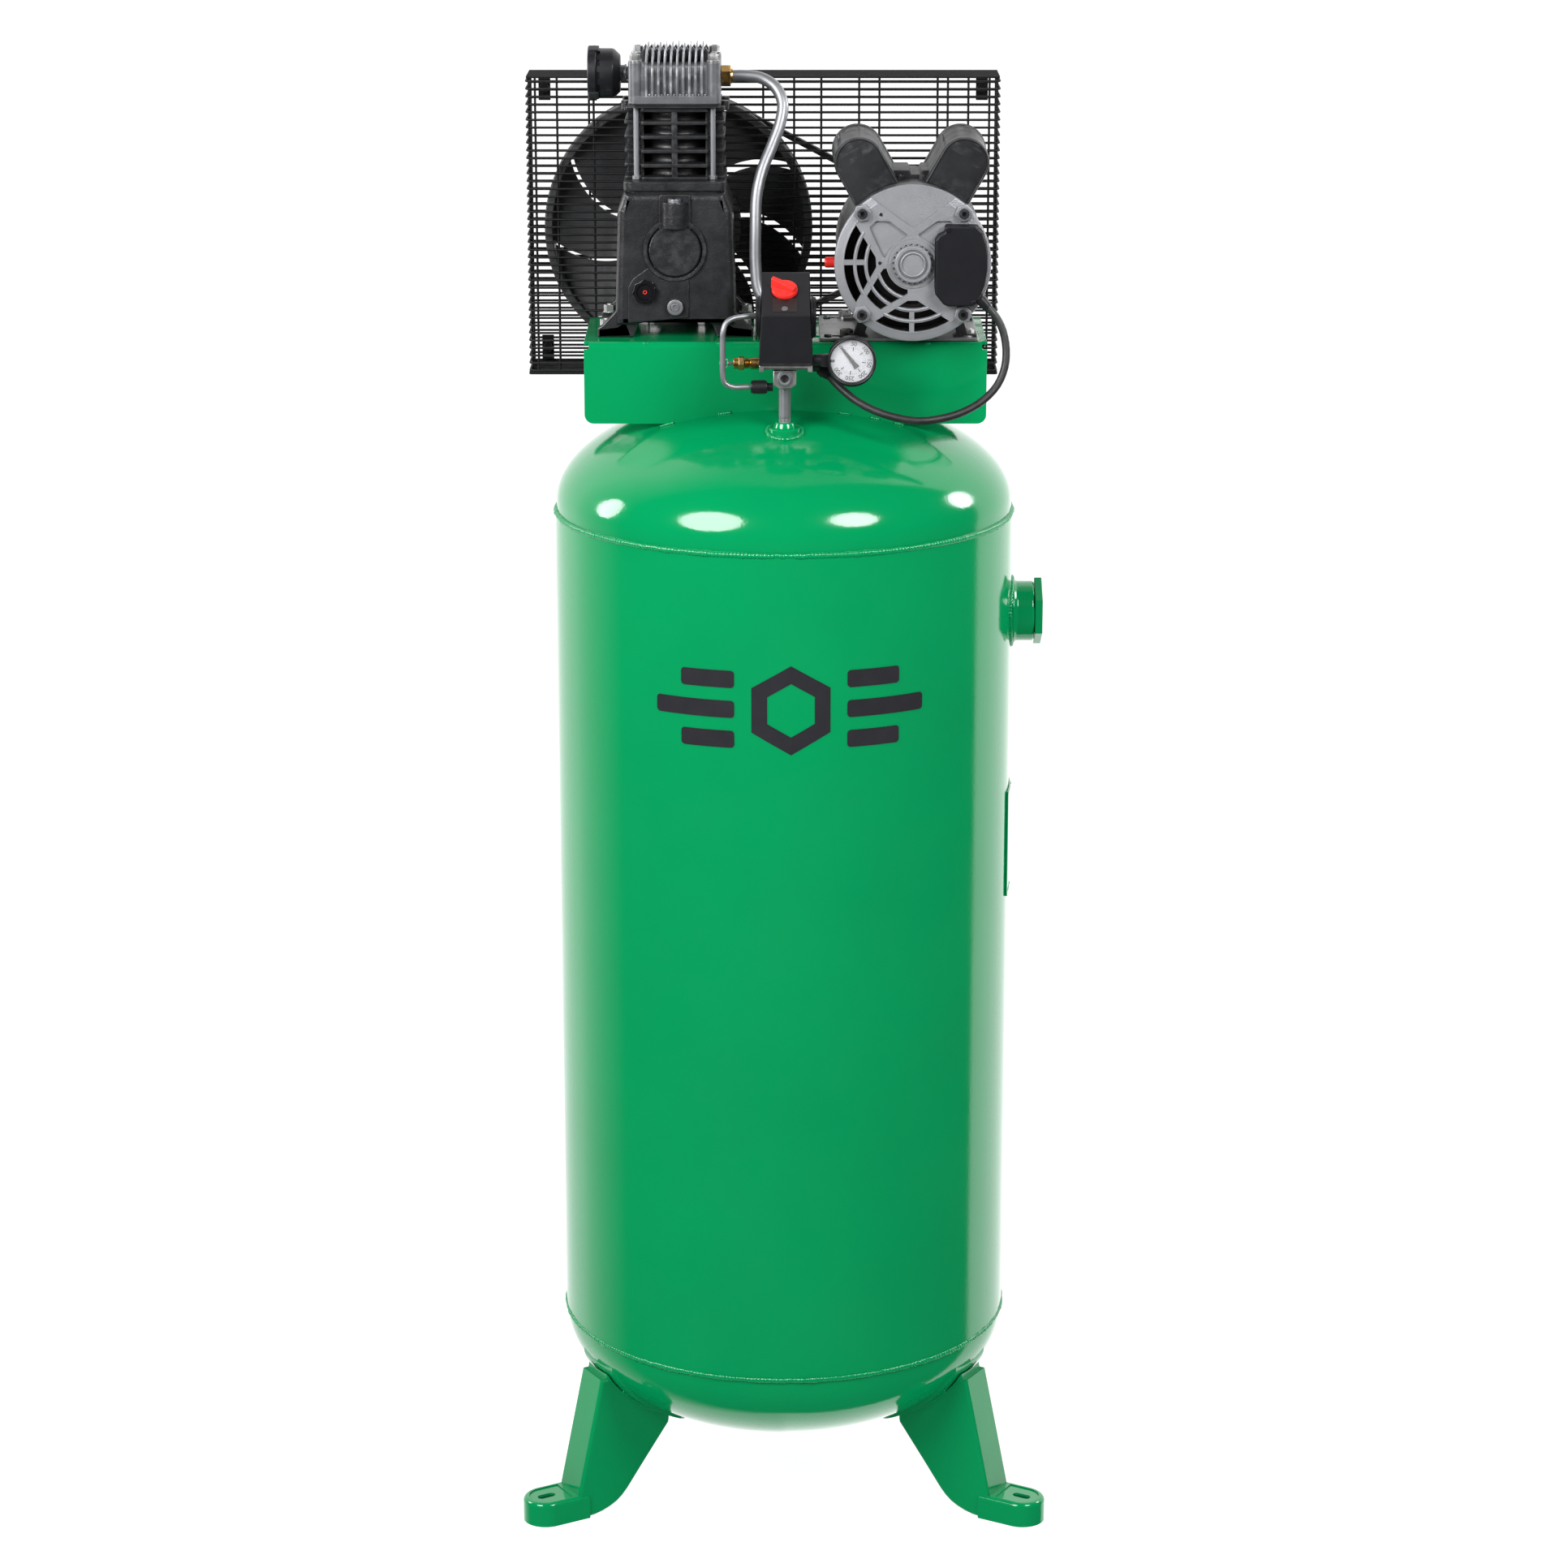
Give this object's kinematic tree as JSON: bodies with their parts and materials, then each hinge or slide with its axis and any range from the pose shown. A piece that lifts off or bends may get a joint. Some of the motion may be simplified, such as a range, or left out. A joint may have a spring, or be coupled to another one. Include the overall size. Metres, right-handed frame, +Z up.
{
  "type": "vertical tank compressor",
  "caption": "Upright air compressor: a tall receiver on three legs carries a bench with a piston pump, a motor, a belt drive in a wire guard, a pressure switch and a gauge.",
  "frame": {"origin": "centre of the whole object's box, on the floor under the feet", "axes": "+Z up along the receiver, -Y towards the side with the switch and the gauge, +X to the motor side"},
  "size_m": [0.5984, 0.5954, 1.659],
  "materials": {
    "green_paint": "gloss green enamel, orange peel, small runs at welds",
    "black_cast": "satin black paint on cast iron",
    "black_wire": "black dipped wire",
    "black_plastic": "fine moulded grain",
    "cast_aluminium": "bare die casting",
    "bright_steel": "bright drawn steel",
    "zinc_plate": "zinc plate",
    "brass": "machined brass",
    "red_plastic": "gloss moulding",
    "rubber": "matt black",
    "clear_lens": "clear moulding",
    "laminations": "stacked sheets with wound copper"
  },
  "bodies": {
    "root": {"tank_shell": "green_paint", "tank_top_head": "green_paint", "tank_bottom_head": "green_paint", "leg_front_left": "green_paint", "leg_front_right": "green_paint", "leg_rear": "green_paint", "leg_pad_front_left": "green_paint", "leg_pad_front_right": "green_paint", "leg_pad_rear": "green_paint", "side_coupling": "green_paint", "side_coupling_plug": "green_paint", "data_plate": "green_paint", "switch_bung": "green_paint", "bench": "green_paint", "crankcase": "black_cast", "cylinder": "black_cast", "valve_plate": "black_cast", "motor_shell": "black_cast", "guard_front": "black_wire", "guard_rear": "black_wire", "air_filter_base": "black_plastic", "air_filter_cover": "black_plastic", "capacitor_cover_left": "black_plastic", "capacitor_cover_right": "black_plastic", "terminal_cover": "black_plastic", "switch_cover": "black_plastic", "cable_connector": "black_plastic", "unloader_fitting": "black_plastic", "gauge_case": "black_plastic", "cylinder_head": "cast_aluminium", "motor_front_endbell": "cast_aluminium", "motor_rear_endbell": "cast_aluminium", "discharge_tube": "bright_steel", "oil_drain_plug": "bright_steel", "oil_fill_plug": "bright_steel", "riser_nipple": "bright_steel", "unloader_tube": "bright_steel", "motor_slide_base": "zinc_plate", "motor_cradle": "zinc_plate", "switch_base": "zinc_plate", "manifold_block": "zinc_plate", "check_valve": "brass", "drain_cock_body": "brass", "discharge_nut": "brass", "safety_valve_body": "brass", "motor_cable": "rubber", "drive_belt": "rubber", "gauge_lens": "clear_lens", "oil_sight_glass": "clear_lens", "motor_stator": "laminations"},
    "flywheel": {"flywheel": "black_cast", "crankshaft": "bright_steel"},
    "piston": {"piston": "cast_aluminium"},
    "motor_drive": {"motor_pulley": "black_cast", "motor_rotor": "bright_steel"},
    "switch_knob": {"switch_knob": "red_plastic"},
    "gauge_pointer": {"gauge_pointer": "black_plastic"},
    "reset_button": {"reset_button": "red_plastic"},
    "relief_stem": {"safety_valve_stem": "brass"},
    "drain_handle": {"drain_cock_handle": "brass"}
  },
  "joints": [
    {"name": "flywheel_spin", "type": "hinge", "parent": "root", "child": "flywheel", "pos_m": [-0.1185, 0.10625, 1.444], "axis": [0, 1, 0], "continuous": true},
    {"name": "motor_spin", "type": "hinge", "parent": "root", "child": "motor_drive", "pos_m": [0.138, 0.10625, 1.4387], "axis": [0, 1, 0], "continuous": true},
    {"name": "piston_slide", "type": "slide", "parent": "root", "child": "piston", "axis": [0, 0, 1], "range_m": [0, 0.045]},
    {"name": "switch_turn", "type": "hinge", "parent": "root", "child": "switch_knob", "pos_m": [0.0008, -0.17375, 1.41306], "axis": [0, -0.5084, 0.8611], "range_deg": [-50, 0]},
    {"name": "gauge_needle", "type": "hinge", "parent": "root", "child": "gauge_pointer", "pos_m": [0.0723, -0.20385, 1.3428], "axis": [0, 1, 0], "range_deg": [0, 270]},
    {"name": "reset_press", "type": "slide", "parent": "root", "child": "reset_button", "axis": [1, 0, 0], "range_m": [0, 0.003], "stiffness_N_per_m": 400},
    {"name": "relief_pull", "type": "slide", "parent": "root", "child": "relief_stem", "axis": [-1, 0, 0], "range_m": [0, 0.004], "stiffness_N_per_m": 1500},
    {"name": "drain_turn", "type": "hinge", "parent": "root", "child": "drain_handle", "pos_m": [0, -0.04375, 0.0479], "axis": [0, 0, 1], "range_deg": [0, 90]}
  ],
  "couplings": [
    {"joint": "motor_spin", "follows": "flywheel_spin", "ratio": 4.605}
  ]
}
